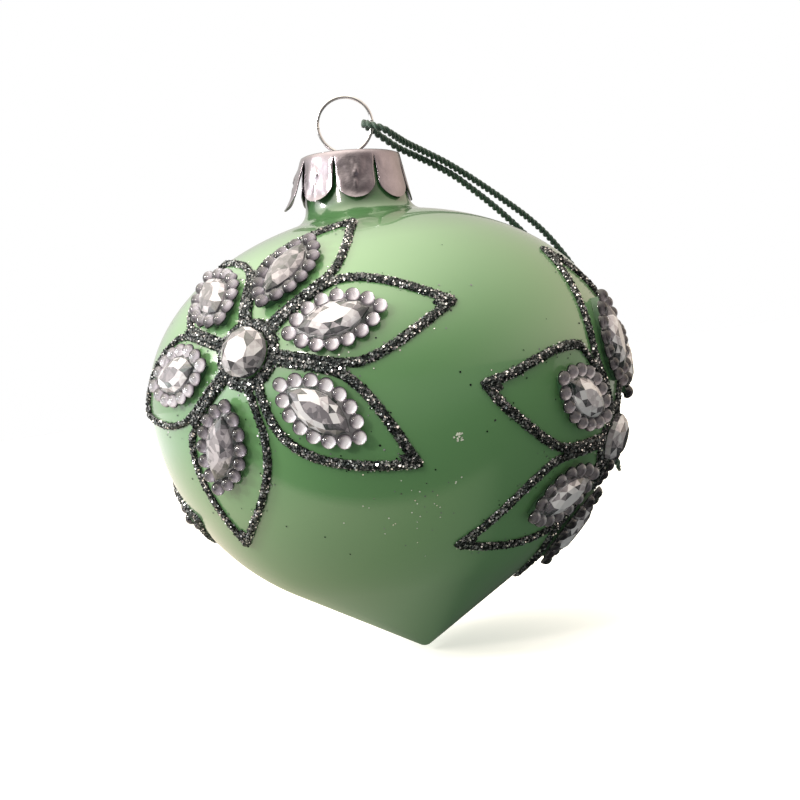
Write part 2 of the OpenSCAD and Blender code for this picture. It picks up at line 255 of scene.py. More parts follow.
def mix(tree, factor, a, b, kind="RGBA"):
    m = tree.nodes.new("ShaderNodeMix")
    m.data_type = kind
    for key, value in (("Factor", factor), ("A", a), ("B", b)):
        feed(tree, m.inputs[key], value)
    return m.outputs["Result"]


def map_range(tree, value, **limits):
    r = tree.nodes.new("ShaderNodeMapRange")
    set_inputs(r, **limits)
    tree.links.new(value, r.inputs["Value"])
    return r.outputs["Result"]


def math_node(tree, operation, *values):
    n = tree.nodes.new("ShaderNodeMath")
    n.operation = operation
    for socket, value in zip(n.inputs, values):
        feed(tree, socket, value)
    return n.outputs[0]


def cell_value(tree, cells, channel):
    split = tree.nodes.new("ShaderNodeSeparateColor")
    tree.links.new(cells.outputs["Color"], split.inputs["Color"])
    return split.outputs[channel]


def axes(tree, coords):
    split = tree.nodes.new("ShaderNodeSeparateXYZ")
    tree.links.new(coords, split.inputs[0])
    return split.outputs


def light_path(tree, ray):
    return tree.nodes.new("ShaderNodeLightPath").outputs[ray]


def bump(tree, height, shader, strength, distance):
    b = tree.nodes.new("ShaderNodeBump")
    set_inputs(b, Strength=strength, Distance=distance)
    tree.links.new(height, b.inputs["Height"])
    tree.links.new(b.outputs["Normal"], shader.inputs["Normal"])


def object_coords(tree):
    return tree.nodes.new("ShaderNodeTexCoord").outputs["Object"]


# Materials
def glass_material():
    m, tree, shader = material("green_lacquered_glass")
    coords = object_coords(tree)
    cloud = texture(tree, "ShaderNodeTexNoise", coords, Scale=16.0, Detail=4.0, Roughness=0.55)
    green = ramp(tree, cloud.outputs["Fac"], [(0.3, (0.115, 0.27, 0.108)), (0.7, (0.14, 0.3, 0.125))])
    # painted shade: the glass turns a darker green towards the neck, under the cap, between two heights in
    # metres
    neck = map_range(tree, axes(tree, coords)["Z"], From_Min=-0.030, From_Max=-0.018)
    tree.links.new(mix(tree, neck, green, (0.032, 0.105, 0.037, 1)), shader.inputs["Base Color"])
    set_inputs(shader, Roughness=0.3, Coat_Weight=1.0, Coat_Roughness=0.025, Coat_IOR=1.52)
    wave = texture(tree, "ShaderNodeTexNoise", coords, Scale=45.0, Detail=2.0)
    bump(tree, wave.outputs["Fac"], shader, strength=0.08, distance=0.0006)
    return m


def glitter_body_material():
    m, tree, shader = material("glitter_glue")
    cells = texture(tree, "ShaderNodeTexVoronoi", object_coords(tree), Scale=2600.0)
    tint = ramp(tree, cell_value(tree, cells, "Red"),
                [(0.0, (0.006, 0.012, 0.012)), (0.7, (0.03, 0.036, 0.038)), (1.0, (0.3, 0.3, 0.31))])
    tree.links.new(tint, shader.inputs["Base Color"])
    set_inputs(shader, Metallic=0.7, Roughness=0.38)
    bump(tree, cells.outputs["Distance"], shader, strength=0.8, distance=0.0003)
    return m


def flake_material(name, colour, rough, metallic=1.0):
    m, tree, shader = material(name)
    cells = texture(tree, "ShaderNodeTexVoronoi", object_coords(tree), Scale=3000.0)
    dark = tuple(0.55 * c for c in colour)
    shade = mix(tree, cell_value(tree, cells, "Green"), (*dark, 1), (*colour, 1))
    tree.links.new(shade, shader.inputs["Base Color"])
    set_inputs(shader, Metallic=metallic, Roughness=rough)
    return m


def stone_material(name, stops, metallic, rough, mosaic, clear, coat):
    # the tint is a piece's own value, painted light and shade on beads, discs and cut facets with some random
    # tone, mixed with a share of random mosaic
    m, tree, shader = material(name)
    painted_light_and_tone = tree.nodes.new("ShaderNodeAttribute")
    painted_light_and_tone.attribute_name = "painted_light_and_tone"
    coords = object_coords(tree)
    cells = texture(tree, "ShaderNodeTexVoronoi", coords, Scale=950.0, Randomness=1.0)
    both = mix(tree, mosaic, painted_light_and_tone.outputs["Fac"], cell_value(tree, cells, "Red"), "FLOAT")
    tree.links.new(ramp(tree, both, stops), shader.inputs["Base Color"])
    set_inputs(shader, Metallic=metallic, Roughness=rough, Coat_Weight=coat, Coat_Roughness=0.03,
               Transmission_Weight=clear, IOR=1.49)
    grain = texture(tree, "ShaderNodeTexNoise", coords, Scale=900.0, Detail=3.0)
    bump(tree, grain.outputs["Fac"], shader, strength=0.05, distance=0.0001)
    return m


def metal_material(name, colour, rough, scale, strength):
    m, tree, shader = material(name)
    coords = object_coords(tree)
    blot = texture(tree, "ShaderNodeTexNoise", coords, Scale=scale, Detail=5.0, Roughness=0.6).outputs["Fac"]
    dull = tuple(0.72 * c for c in colour)
    tree.links.new(ramp(tree, blot, [(0.3, dull), (0.7, colour)]), shader.inputs["Base Color"])
    set_inputs(shader, Metallic=1.0)
    wear = map_range(tree, blot, To_Min=rough * 0.7, To_Max=rough * 1.5)
    tree.links.new(wear, shader.inputs["Roughness"])
    bump(tree, blot, shader, strength=strength, distance=0.0004)
    return m


def cord_material():
    m, tree, shader = material("twisted_cord")
    coords = object_coords(tree)
    threads = texture(tree, "ShaderNodeTexNoise", coords, Scale=2400.0, Detail=3.0, Roughness=0.7)
    fibre = threads.outputs["Fac"]
    tint = ramp(tree, fibre,
                [(0.3, (0.006, 0.028, 0.018)), (0.55, (0.022, 0.07, 0.045)), (0.8, (0.12, 0.19, 0.15))])
    tree.links.new(tint, shader.inputs["Base Color"])
    set_inputs(shader, Roughness=0.55, Sheen_Weight=0.3)
    bump(tree, fibre, shader, strength=0.7, distance=0.0002)
    return m


def glue_material():
    m, tree, shader = material("clear_glue")
    cloud = texture(tree, "ShaderNodeTexNoise", object_coords(tree), Scale=300.0, Detail=2.0).outputs["Fac"]
    tint = ramp(tree, cloud, [(0.3, (0.03, 0.1, 0.045)), (0.7, (0.07, 0.17, 0.08))])
    tree.links.new(tint, shader.inputs["Base Color"])
    set_inputs(shader, Roughness=0.42)
    bump(tree, cloud, shader, strength=0.5, distance=0.0006)
    return m


GLASS = glass_material()
GLITTER = glitter_body_material()
FLAKES = [flake_material("flake_charcoal", (0.03, 0.036, 0.038), rough=0.28),
          flake_material("flake_grey", (0.3, 0.33, 0.33), rough=0.2, metallic=0.35),
          flake_material("flake_silver", (0.98, 0.96, 0.98), rough=0.14),
          flake_material("flake_pale", (0.85, 0.92, 0.78), rough=0.3, metallic=0.0)]
CHARCOAL, GREY, SILVER, PALE = range(len(FLAKES))
STONE_LIGHT = (1.0, (0.965, 0.965, 1.0))
CRYSTAL = stone_material(
    "foiled_crystal",
    [(0.0, (0.012, 0.03, 0.024)), (0.35, (0.17, 0.16, 0.18)), (0.7, (0.64, 0.6, 0.64)), STONE_LIGHT],
    metallic=0.15, rough=0.04, mosaic=0.3, clear=0.3, coat=0.6)
FOIL = stone_material(
    "foil_backing",
    [(0.0, (0.02, 0.035, 0.03)), (0.5, (0.5, 0.48, 0.52)), STONE_LIGHT],
    metallic=0.3, rough=0.2, mosaic=0.25, clear=0.0, coat=0.0)
BEADS = stone_material(
    "foiled_beads",
    [(0.0, (0.012, 0.018, 0.018)), (0.4, (0.14, 0.125, 0.145)), (0.75, (0.62, 0.58, 0.63)), STONE_LIGHT],
    metallic=0.0, rough=0.02, mosaic=0.06, clear=0.9, coat=0.0)
CAP_METAL = metal_material("cap_metal", (0.34, 0.305, 0.34), rough=0.17, scale=300.0, strength=0.3)
WIRE_METAL = metal_material("bright_wire", (0.82, 0.82, 0.83), rough=0.18, scale=900.0, strength=0.1)
CORD = cord_material()
GLUE = glue_material()


# Cord: two twisted plies along each strand
PLIES = 2
PLY_R = 0.42
PLY_OFFSET = 0.34
PLY_PITCH = 2.8
PLY_STEP = 0.26
PLY_SIDES = 7
PLY_END = 0.8
PLY_UNEVEN = 0.06
PLY_GRAIN = 1.7
FRAY_FIBRES = 26
FRAY_SPREAD = 0.32
FRAY_INSIDE = 0.5
FRAY_LENGTH = (0.9, 1.7)
FRAY_BEND = 0.25
FRAY_RADII = (0.07, 0.06, 0.015)
FRAY_SIDES = 3
KNOT_SIZE = 0.52
KNOT_DEPTH = 1.6
KNOT_PHASE = 0.4
KNOT_STEPS = 96
KNOT_TURN = Matrix.Rotation(math.radians(62), 3, "X") @ Matrix.Rotation(math.radians(20), 3, "Z")


def smooth_route(points, per=10):
    pts = [Vector(p) for p in points]
    pts = [2 * pts[0] - pts[1]] + pts + [2 * pts[-1] - pts[-2]]
    out = []
    for i in range(1, len(pts) - 2):
        a, b, c, d = pts[i - 1:i + 3]
        slope, curve, twist = c - a, 2 * a - 5 * b + 4 * c - d, 3 * b - a - 3 * c + d
        for k in range(per):
            t = k / per
            out.append(0.5 * (2 * b + slope * t + curve * t * t + twist * t ** 3))
    out.append(pts[-2])
    return out


def even_route(points, step):
    out, left = [points[0]], step
    for a, b in zip(points, points[1:]):
        span = (b - a).length
        while span > left:
            a = a + (b - a) * (left / span)
            out.append(a)
            span -= left
            left = step
        left -= span
    return out


def twisted_plies(points, phase):
    pts = even_route(points, PLY_STEP)
    last = len(pts) - 1
    verts, faces = [], []
    tangents = [(pts[min(i + 1, last)] - pts[max(i - 1, 0)]).normalized() for i in range(len(pts))]
    u = tangents[0].cross(Vector((0.3, 0.2, 1))).normalized()
    across = []
    for t in tangents:
        u = (u - u.dot(t) * t).normalized()
        across.append(u)
    for ply in range(PLIES):
        base = len(verts)
        for i, (p, t, a) in enumerate(zip(pts, tangents, across)):
            b = t.cross(a)
            q = phase + 2 * math.pi * i * PLY_STEP / PLY_PITCH + math.pi * ply
            out = math.cos(q) * a + math.sin(q) * b
            turn = -math.sin(q) * a + math.cos(q) * b
            lean = (t + turn * (2 * math.pi * PLY_OFFSET / PLY_PITCH)).normalized()
            side = lean.cross(out).normalized()
            end = 1.0 if 1 < i < last - 1 else PLY_END
            r = PLY_R * end * (1 + PLY_UNEVEN * noise.noise(p * PLY_GRAIN + Vector((0, 0, 9 * ply))))
            for k in range(PLY_SIDES):
                w = 2 * math.pi * k / PLY_SIDES
                verts.append(p + PLY_OFFSET * out + r * (math.cos(w) * out + math.sin(w) * side))
        for i in range(last):
            join_rings(faces, base + i * PLY_SIDES, base + (i + 1) * PLY_SIDES, PLY_SIDES)
        faces.append(tuple(base + k for k in reversed(range(PLY_SIDES))))
        faces.append(tuple(base + last * PLY_SIDES + k for k in range(PLY_SIDES)))
    return verts, faces


def add_fray(verts, faces, tip, along, seed):
    rng = random.Random(seed)
    for _ in range(FRAY_FIBRES):
        d = jitter(along, FRAY_SPREAD, rng)
        n = d.orthogonal().normalized()
        b = d.cross(n)
        start = tip + (n * rng.uniform(-1, 1) + b * rng.uniform(-1, 1)) * FRAY_SPREAD - d * FRAY_INSIDE
        long = rng.uniform(*FRAY_LENGTH)
        end = start + d * long + n * rng.uniform(-FRAY_BEND, FRAY_BEND)
        base = len(verts)
        for p, r in zip((start, start + d * long * 0.6, end), FRAY_RADII):
            for k in range(FRAY_SIDES):
                w = 2 * math.pi * k / FRAY_SIDES
                verts.append(p + r * (math.cos(w) * n + math.sin(w) * b))
        for lo in (base, base + FRAY_SIDES):
            join_rings(faces, lo, lo + FRAY_SIDES, FRAY_SIDES)


def make_strand(name, points, phase, seed):
    route = smooth_route(points)
    verts, faces = twisted_plies(route, phase)
    add_fray(verts, faces, route[-1], (route[-1] - route[-3]).normalized(), seed)
    obj = add_mesh(name, verts, faces, [CORD], "hanger")
    return obj, route


def make_knot():
    # a trefoil, the closed form of an overhand knot
    route = []
    for i in range(KNOT_STEPS + 1):
        t = 2 * math.pi * i / KNOT_STEPS
        x = math.sin(t) + 2 * math.sin(2 * t)
        y = math.cos(t) - 2 * math.cos(2 * t)
        z = -KNOT_DEPTH * math.sin(3 * t)
        route.append(KNOT_AT + KNOT_TURN @ (Vector((x, y, z)) * KNOT_SIZE))
    verts, faces = twisted_plies(route, KNOT_PHASE)
    obj = add_mesh("cord_knot_tied", verts, faces, [CORD], "hanger")
    return obj


strand_a, route_a = make_strand("cord_strand_front", STRAND_A, 0.0, 3)
strand_b, route_b = make_strand("cord_strand_back", STRAND_B, math.pi, 4)
knot = make_knot()
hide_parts("hanging_cord")
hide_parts("hanging_cord")
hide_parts("cord_knot")


# Glass: one lathe with its inside, from the same outline as the solid
GLASS_AROUND = 128
ARC_STEPS = 8
POLE_R = 1e-4
LEAST_FLAT = 0.01


def outline(grow, fine):
    # from the tip over the cone, the belly and the dome to the neck's mouth
    belly = BULB_R + grow
    tip_r, tip_z = TIP_ROUND + grow, (TIP_ROUND - BULB_R) / math.sin(CONE)
    points = []
    for i in range(ARC_STEPS + 1):
        a = math.radians(-90) + i * (math.pi / 2 - CONE) / ARC_STEPS
        points.append((max(tip_r * math.cos(a), 0.0), tip_z + tip_r * math.sin(a)))
    tip_end, cone_end = points[-1], (belly * math.cos(CONE), -belly * math.sin(CONE))
    points += [between(tip_end, cone_end, t) for t in (0.25, 0.5, 0.75)]
    for i in range(fine + 1):
        a = -CONE * (1 - i / fine)
        points.append((belly * math.cos(a), belly * math.sin(a)))

    def dome(a):
        return (belly * math.cos(a), (DOME_H + grow) * math.sin(a))

    def neck(z):
        return (MOUTH_R + grow + (DOME_H + NECK_H - z) * NECK_TAPER, z)

    root = neck(DOME_H * math.sqrt(1 - (MOUTH_R / BULB_R) ** 2))
    last = math.acos((root[0] + NECK_BLEND) / belly)
    points += [dome(last * i / (fine + 1)) for i in range(1, fine + 1)]
    start, top = dome(last), neck(root[1] + NECK_BLEND)
    for i in range(ARC_STEPS + 1):
        t = i / ARC_STEPS
        points.append(between(between(start, root, t), between(root, top, t), t))
    mouth = neck(DOME_H + NECK_H)
    points += [between(top, mouth, t) for t in (0.3, 0.65, 0.9)]
    return points, mouth


def make_glass():
    outer, (out_r, rim_z) = outline(0.0, fine=40)
    inner, (in_r, _) = outline(-WALL, fine=24)
    rim = [(out_r, rim_z - RIM_ROUND), (out_r - RIM_ROUND, rim_z),
           (in_r + RIM_ROUND, rim_z), (in_r, rim_z - RIM_ROUND)]
    verts, faces, rows = [], [], []
    for r, z in outer + rim + inner[::-1]:
        if r < POLE_R:
            rows.append([len(verts)] * GLASS_AROUND)
            verts.append((0, 0, BULB_Z + z))
        else:
            rows.append(list(range(len(verts), len(verts) + GLASS_AROUND)))
            for k in range(GLASS_AROUND):
                a = 2 * math.pi * k / GLASS_AROUND
                verts.append((r * math.cos(a), r * math.sin(a), BULB_Z + z))
    for lo, hi in zip(rows, rows[1:]):
        for k in range(GLASS_AROUND):
            k2 = (k + 1) % GLASS_AROUND
            quad = [lo[k], lo[k2], hi[k2], hi[k]]
            face = [v for i, v in enumerate(quad) if v not in quad[:i]]
            if len(face) > 2:
                faces.append(tuple(face))
    obj = add_mesh("glass_bulb_blown", verts, faces, [GLASS], "bulb")
    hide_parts("glass_bulb")


make_glass()


# Points on the glass, as in the part's source
def reach(u):
    flat = math.hypot(u.x, u.y)
    if u.z >= 0:
        return 1 / math.sqrt((flat / BULB_R) ** 2 + (u.z / DOME_H) ** 2)
    if u.z < -math.sin(CONE):
        return BULB_R / (flat * math.cos(CONE) - u.z * math.sin(CONE))
    return BULB_R


def glass_point(u):
    return Vector((0, 0, BULB_Z)) + reach(u) * u


def glass_normal(u):
    if u.z >= 0:
        return Vector((u.x / BULB_R ** 2, u.y / BULB_R ** 2, u.z / DOME_H ** 2)).normalized()
    if u.z < -math.sin(CONE):
        flat = max(math.hypot(u.x, u.y), LEAST_FLAT)
        return Vector((math.cos(CONE) * u.x / flat, math.cos(CONE) * u.y / flat, -math.sin(CONE)))
    return u.copy()


def from_middle(q):
    return (q - Vector((0, 0, BULB_Z))).normalized()


def on_glass(u):
    return glass_point(u), glass_normal(u)


def petal_dir(f, bearing, along, aside):
    az = math.radians(f["turn"] - 90)
    middle = direction(az, math.radians(f["rise"]))
    right = Vector((-math.sin(az), math.cos(az), 0))
    upward = middle.cross(right)
    swing = math.hypot(along, aside) / BULB_R
    turn = math.radians(bearing) + math.atan2(aside, along)
    return math.cos(swing) * middle + math.sin(swing) * (math.cos(turn) * right + math.sin(turn) * upward)


def flower_matrix(f, bearing, along):
    p, n = on_glass(petal_dir(f, bearing, along, 0))
    ahead = glass_point(petal_dir(f, bearing, along + 1, 0)) - p
    x = (ahead - ahead.dot(n) * n).normalized()
    m = Matrix((x, n.cross(x), n)).transposed().to_4x4()
    m.translation = p
    return m


# Stones: a beaded, foiled moulding with a cut middle
BEAD_GROWTH = (1.05, 1.11)
BEAD_TINT = (0.95, 1.35)
BEAD_AROUND = 18
BEAD_RINGS = 9
# Painted shade darkens the foot of each dome, and painted light makes its far side from the side lamp lighter
BEAD_RIM_SHADE_SPAN = 0.8
BEAD_RIM_SHADE_POWER = 1.5
BEAD_RIM_SHADE = 0.03
BEAD_LAMP_SIDE_SHADE = 0.2
BEAD_TOP_TINT = 0.5
BEAD_PAINTED_LIGHT_START = 0.38
BEAD_PAINTED_LIGHT_GAIN = 1.1
PLATE_TOP = GLUE_H + PLATE_H
FOIL_AROUND = 72
FOIL_INSET = 1.8
FOIL_BACK = GLUE_H + 0.15
FOIL_TOP = PLATE_TOP - 0.1
FOIL_UNEVEN = (0.7, 1.0)
# Share of the foil's width, height and tint of each row
FOIL_ROWS = ((1.0, GLUE_H, 0.15), (1.0, FOIL_BACK, 0.2), (0.82, FOIL_BACK, 0.05),
             (0.76, FOIL_TOP, 0.0), (0.6, FOIL_TOP, 0.0), (0.5, FOIL_TOP, 1.0))
DISC_AROUND = 16
DISC_Z = FOIL_BACK + 0.05
# Painted light on the disc under each bead: lighter on the side away from the side lamp
DISC_PAINTED_LIGHT = 0.6
DISC_PAINTED_LIGHT_GAIN = 0.85
# Share of the bead's radius and tint of each ring of the disc under it: painted shade at the rim, painted
# light in the middle
DISC_RINGS = ((0.97, 0.04), (0.86, 0.4), (0.5, 1.0))
LEAST_GLOW = 0.35
CUT_L = NAVETTE_L - 2.45 * BEAD_D
CUT_W = NAVETTE_W - 2.05 * BEAD_D
CUT_SIDES = 12
CUT_UNDER = 0.3
CUT_GIRDLE = 0.4
CUT_SHOULDER = 1.08
TABLE_SIDES = 8
ROUND_SIDES = 16
ROUND_GIRDLE = 0.35
ROUND_SHOULDER = 1.25
FLAT_ANGLE = math.radians(1.5)
# Painted reflection and shade of the cut stones: a random lightness per facet, and painted shade on facets
# towards a navette's tips
NAVETTE_FACET_LIGHTS = (0.05, 0.3, 0.65, 0.9, 1.0, 1.0)
ROUND_FACET_LIGHTS = (0.1, 0.4, 0.65, 0.85, 1.0)
TIP_SHADE = 0.22
TIP_SHADE_FROM = 0.21 * NAVETTE_L


def oval(l, w, side, share):
    r = (l * l + w * w) / (4 * w)
    a = math.asin(l / 2 / r) * share
    return Vector((r * math.sin(a), side * (r * math.cos(a) - (r - w / 2)), 0))


def around_oval(l, w, count, shift=0):
    half = count // 2
    shares = [1 - 2 * (i + shift) / half for i in range(half)]
    return [oval(l, w, side, side * share) for side in (1, -1) for share in shares]


def lifted(points, *heights):
    return [p + Vector((0, 0, z)) for p in points for z in heights]


def add_dome(verts, faces, painted_tones, centre, r, low, glow, tint):
    # a clear dome gathers light on its far side; here that light is painted: the tint grows from the side
    # towards the side lamp across, and painted shade darkens the dome's foot
    base = len(verts)
    for i in range(BEAD_RINGS):
        e = lerp(low, math.pi / 2, i / BEAD_RINGS)
        edge = clamp((e - low) / BEAD_RIM_SHADE_SPAN) ** BEAD_RIM_SHADE_POWER
        for k in range(BEAD_AROUND):
            d = direction(2 * math.pi * k / BEAD_AROUND, e)
            verts.append(centre + r * d)
            far = clamp(BEAD_PAINTED_LIGHT_START + BEAD_PAINTED_LIGHT_GAIN * d.dot(glow))
            painted_tones.append(tint * lerp(BEAD_LAMP_SIDE_SHADE, 1, far) * lerp(BEAD_RIM_SHADE, 1, edge))
    verts.append(centre + Vector((0, 0, r)))
    painted_tones.append(tint * BEAD_TOP_TINT)
    for i in range(BEAD_RINGS - 1):
        join_rings(faces, base + i * BEAD_AROUND, base + (i + 1) * BEAD_AROUND, BEAD_AROUND)
    top_ring, top = base + (BEAD_RINGS - 1) * BEAD_AROUND, base + BEAD_RINGS * BEAD_AROUND
    for k in range(BEAD_AROUND):
        faces.append((top_ring + k, top_ring + (k + 1) % BEAD_AROUND, top))


def add_facets(verts, faces, painted_tones, gem, rng, choices, shade_from=math.inf):
    gem_verts, gem_faces = gem
    for g in gem_faces:
        base = len(verts)
        verts += [gem_verts[v] for v in g]
        faces.append(tuple(range(base, base + len(g))))
        middle = sum(abs(gem_verts[v].x) for v in g) / len(g)
        # painted reflection: a random lightness per facet, with painted shade towards the tips
        painted_tones += [rng.choice(choices) if middle < shade_from else rng.uniform(0, TIP_SHADE)] * len(g)


def cut_gem(points):
    bm = bmesh.new()
    for p in points:
        bm.verts.new(p)
    bmesh.ops.convex_hull(bm, input=bm.verts)
    bmesh.ops.recalc_face_normals(bm, faces=bm.faces)
    bmesh.ops.dissolve_limit(bm, angle_limit=FLAT_ANGLE, verts=bm.verts, edges=bm.edges)
    bm.verts.ensure_lookup_table()
    bm.verts.index_update()
    verts = [v.co.copy() for v in bm.verts]
    faces = [tuple(v.index for v in f.verts) for f in bm.faces]
    bm.free()
    return verts, faces


def navette_gem():
    # girdle, shoulder facets and table
    points = lifted(around_oval(CUT_L, CUT_W, CUT_SIDES), PLATE_TOP - CUT_UNDER, PLATE_TOP + CUT_GIRDLE)
    shoulder = around_oval(CUT_L * 0.8, CUT_W * 0.76, CUT_SIDES, shift=0.5)
    points += lifted(shoulder, PLATE_TOP + CUT_SHOULDER)
    table = around_oval(CUT_L * 0.55, CUT_W * 0.44, TABLE_SIDES)
    points += lifted(table, PLATE_TOP + NAVETTE_CROWN)
    return cut_gem(points)


def round_gem():
    r = ROUND_D / 2
    girdle = [r * spoke(i, ROUND_SIDES) for i in range(ROUND_SIDES)]
    shoulder = [0.82 * r * spoke(i + 0.5, TABLE_SIDES) for i in range(TABLE_SIDES)]
    table = [0.52 * r * spoke(i, TABLE_SIDES) for i in range(TABLE_SIDES)]
    points = lifted(girdle, GLUE_H, PLATE_TOP + ROUND_GIRDLE)
    points += lifted(shoulder, PLATE_TOP + ROUND_SHOULDER) + lifted(table, PLATE_TOP + ROUND_CROWN)
    return cut_gem(points)


def bead_spots():
    l, w = NAVETTE_L - BEAD_D, NAVETTE_W - BEAD_D
    shares = [2 * i / (SIDE_BEADS + 1) - 1 for i in range(1, SIDE_BEADS + 1)]
    spots = [oval(l, w, side, share) for side in (-1, 1) for share in shares]
    return spots + [Vector((l / 2, 0, 0)), Vector((-l / 2, 0, 0))]


def far_side(m):
    # the way across a stone that leads away from the side lamp
    lamp = m.to_3x3().transposed() @ Vector(LAMP_SIDE).normalized()
    glow = Vector((-lamp.x, -lamp.y, 0))
    return glow / max(glow.length, LEAST_GLOW)


def add_foil_disc(verts, faces, painted_tones, centre, r, glow):
    base = len(verts)
    for share, tint in DISC_RINGS:
        for k in range(DISC_AROUND):
            d = spoke(k, DISC_AROUND)
            verts.append(centre + share * r * d)
            # painted light: the disc is lighter on the side away from the side lamp
            painted_tones.append(tint * max(0, DISC_PAINTED_LIGHT + DISC_PAINTED_LIGHT_GAIN * share * d.dot(glow)))
    for lo in (base, base + DISC_AROUND):
        join_rings(faces, lo, lo + DISC_AROUND, DISC_AROUND)
    faces.append(tuple(base + 2 * DISC_AROUND + k for k in range(DISC_AROUND)))


def make_petal_foil(name, m, domes, glow, painted_brightness, rng):
    # a plate with a raised middle, and a disc under each bead with painted light and shade
    verts, faces, painted_tones = [], [], []
    rim = around_oval(NAVETTE_L - FOIL_INSET, NAVETTE_W - FOIL_INSET, FOIL_AROUND)
    for scale, z, tint in FOIL_ROWS:
        for q in rim:
            verts.append(Vector((q.x * scale, q.y * scale, z)))
            painted_tones.append(tint * rng.uniform(*FOIL_UNEVEN))
    last = (len(FOIL_ROWS) - 1) * FOIL_AROUND
    for lo in range(0, last, FOIL_AROUND):
        join_rings(faces, lo, lo + FOIL_AROUND, FOIL_AROUND)
    faces.append(tuple(reversed(range(FOIL_AROUND))))
    faces.append(tuple(range(last, last + FOIL_AROUND)))
    for q, r in domes:
        add_foil_disc(verts, faces, painted_tones, Vector((q.x, q.y, DISC_Z)), r, glow)
    foil = add_mesh(name, [m @ v for v in verts], faces, [FOIL], "bulb")
    point_values(foil, "painted_light_and_tone", [painted_brightness * t for t in painted_tones])
    return foil


def make_petal_gem(name, m, domes, glow, painted_brightness, rng):
    # rim beads and cut middle, clear, so that light reaches the foil
    verts, faces, painted_tones = [], [], []
    for q, r in domes:
        c = Vector((q.x, q.y, GLUE_H + BEAD_H - r))
        low = math.asin((GLUE_H - c.z) / r)
        add_dome(verts, faces, painted_tones, c, r, low, glow, rng.uniform(*BEAD_TINT))
    beads = len(faces)
    add_facets(verts, faces, painted_tones, navette_gem(), rng, NAVETTE_FACET_LIGHTS, TIP_SHADE_FROM)
    cut = len(faces) - beads
    gem = add_mesh(name, [m @ v for v in verts], faces, [BEADS, CRYSTAL], "bulb",
                   slots=[0] * beads + [1] * cut)
    gem.data.polygons.foreach_set("use_smooth", [True] * beads + [False] * cut)
    point_values(gem, "painted_light_and_tone", [painted_brightness * t for t in painted_tones])
    gem.visible_shadow = False
    return gem


def make_petal_stone(f, fi, p):
    rng = random.Random(100 * fi + p)
    m = flower_matrix(f, f["stones"][p], f["reach"])
    # painted light: every tint of the stone is scaled by its foil value
    glow, painted_brightness = far_side(m), f["foil"][p]
    domes = [(q, BEAD_D / 2 * rng.uniform(*BEAD_GROWTH)) for q in bead_spots()]
    foil = make_petal_foil(f"flower_{fi + 1}_petal_foil_{p + 1}", m, domes, glow, painted_brightness, rng)
    gem = make_petal_gem(f"flower_{fi + 1}_petal_gem_{p + 1}", m, domes, glow, painted_brightness, rng)
    for piece in (foil, gem):
        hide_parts(f"flower_{fi + 1}_petal_stone_{p + 1}")


def make_centre_stone(f, fi):
    m = flower_matrix(f, 0, 0)
    verts, faces, painted_tones = [], [], []
    add_facets(verts, faces, painted_tones, round_gem(), random.Random(900 + fi), ROUND_FACET_LIGHTS)
    obj = add_mesh(f"flower_{fi + 1}_centre_gem", [m @ v for v in verts], faces, [CRYSTAL], "bulb",
                   smooth=False)
    point_values(obj, "painted_light_and_tone", painted_tones)
    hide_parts(f"flower_{fi + 1}_centre_stone")


# Glitter lines: a lumpy ridge of glue under loose flakes
LINE_STEPS = 88
PETAL_ROOT_HALF = 2.2
PETAL_SKEW = 0.8
PETAL_EASE = 0.6
AXIS_RUN = 30
RIDGE_SECTION = 9
RIDGE_LIFT = 0.03
RIDGE_UNDER_FLAKES = 0.86
WIDTH_LUMPS = 0.18
HEIGHT_LUMPS = 0.25
SURFACE_LUMPS = 0.14
CHARCOAL_SHARE = 0.42
GREY_SHARE = 0.28
FLAKE_SIDES = 6
FLAKES_PER_AREA = 20
FLAKE_SIZE = (0.12, 0.25)
FLAKE_TILT = 0.8
FLAKE_OUT = 1.04
FLAKE_UP = 0.88
FLAKE_LIFT = 0.05
FLAKE_FACES_UP = 0.35
STRAYS_PER_MM = 0.5
STRAY_SIZE = (0.1, 0.2)
STRAY_TILT = 0.3
STRAY_FALL = 1.5
STRAY_LIFT = 0.09
SHARED_FROM = LINE_ROOT - 0.3
SHARED_STEP = 0.25
SHARED_STEPS = 80
SHARED_APART = 2.2
SHARED_INSET = 0.1
SHARED_LEAST = 0.25
CORNER_L = 3.6
CORNER_STEPS = 14
CORNER_HALF = 0.95
COLLAR_R = ROUND_D / 2 + 1
COLLAR_HALF = 1.0
COLLAR_H = 0.75
COLLAR_STEPS = 60


def petal_half(swell, t):
    return PETAL_ROOT_HALF * (1 - t) + swell * math.sin(math.pi * t ** PETAL_SKEW)


def eased_min(a, b):
    return (a + b - math.sqrt((a - b) ** 2 + PETAL_EASE)) / 2


def axis_bearing(f, p, along):
    return lerp(f["stones"][p], f["tips"][p], clamp((along - LINE_ROOT) / AXIS_RUN))


def outline_point(f, p, s):
    # s runs from -1 at the root over 0 at the tip back to 1 at the root
    t, way = 1 - abs(s), 1 if s < 0 else -1
    along = lerp(LINE_ROOT, f["tip_reach"][p], t)
    half = petal_half(f["ahead" if way > 0 else "behind"][p], t)
    gap = (way * (axis_bearing(f, (p + way) % PETALS, along) - axis_bearing(f, p, along))) % 360
    room = along * math.tan(math.radians(gap / 2)) - LINE_THIN - LINE_APART
    aside = 0 if s == 0 else max(eased_min(half, room), 0)
    u = petal_dir(f, axis_bearing(f, p, along), along, way * aside)
    return *on_glass(u), min(LINE_W / 2, LINE_THIN + max(room - aside, 0))


def outline_at(f, p, way, along):
    t = (along - LINE_ROOT) / (f["tip_reach"][p] - LINE_ROOT)
    return outline_point(f, p, -way * (1 - clamp(t)))[0]


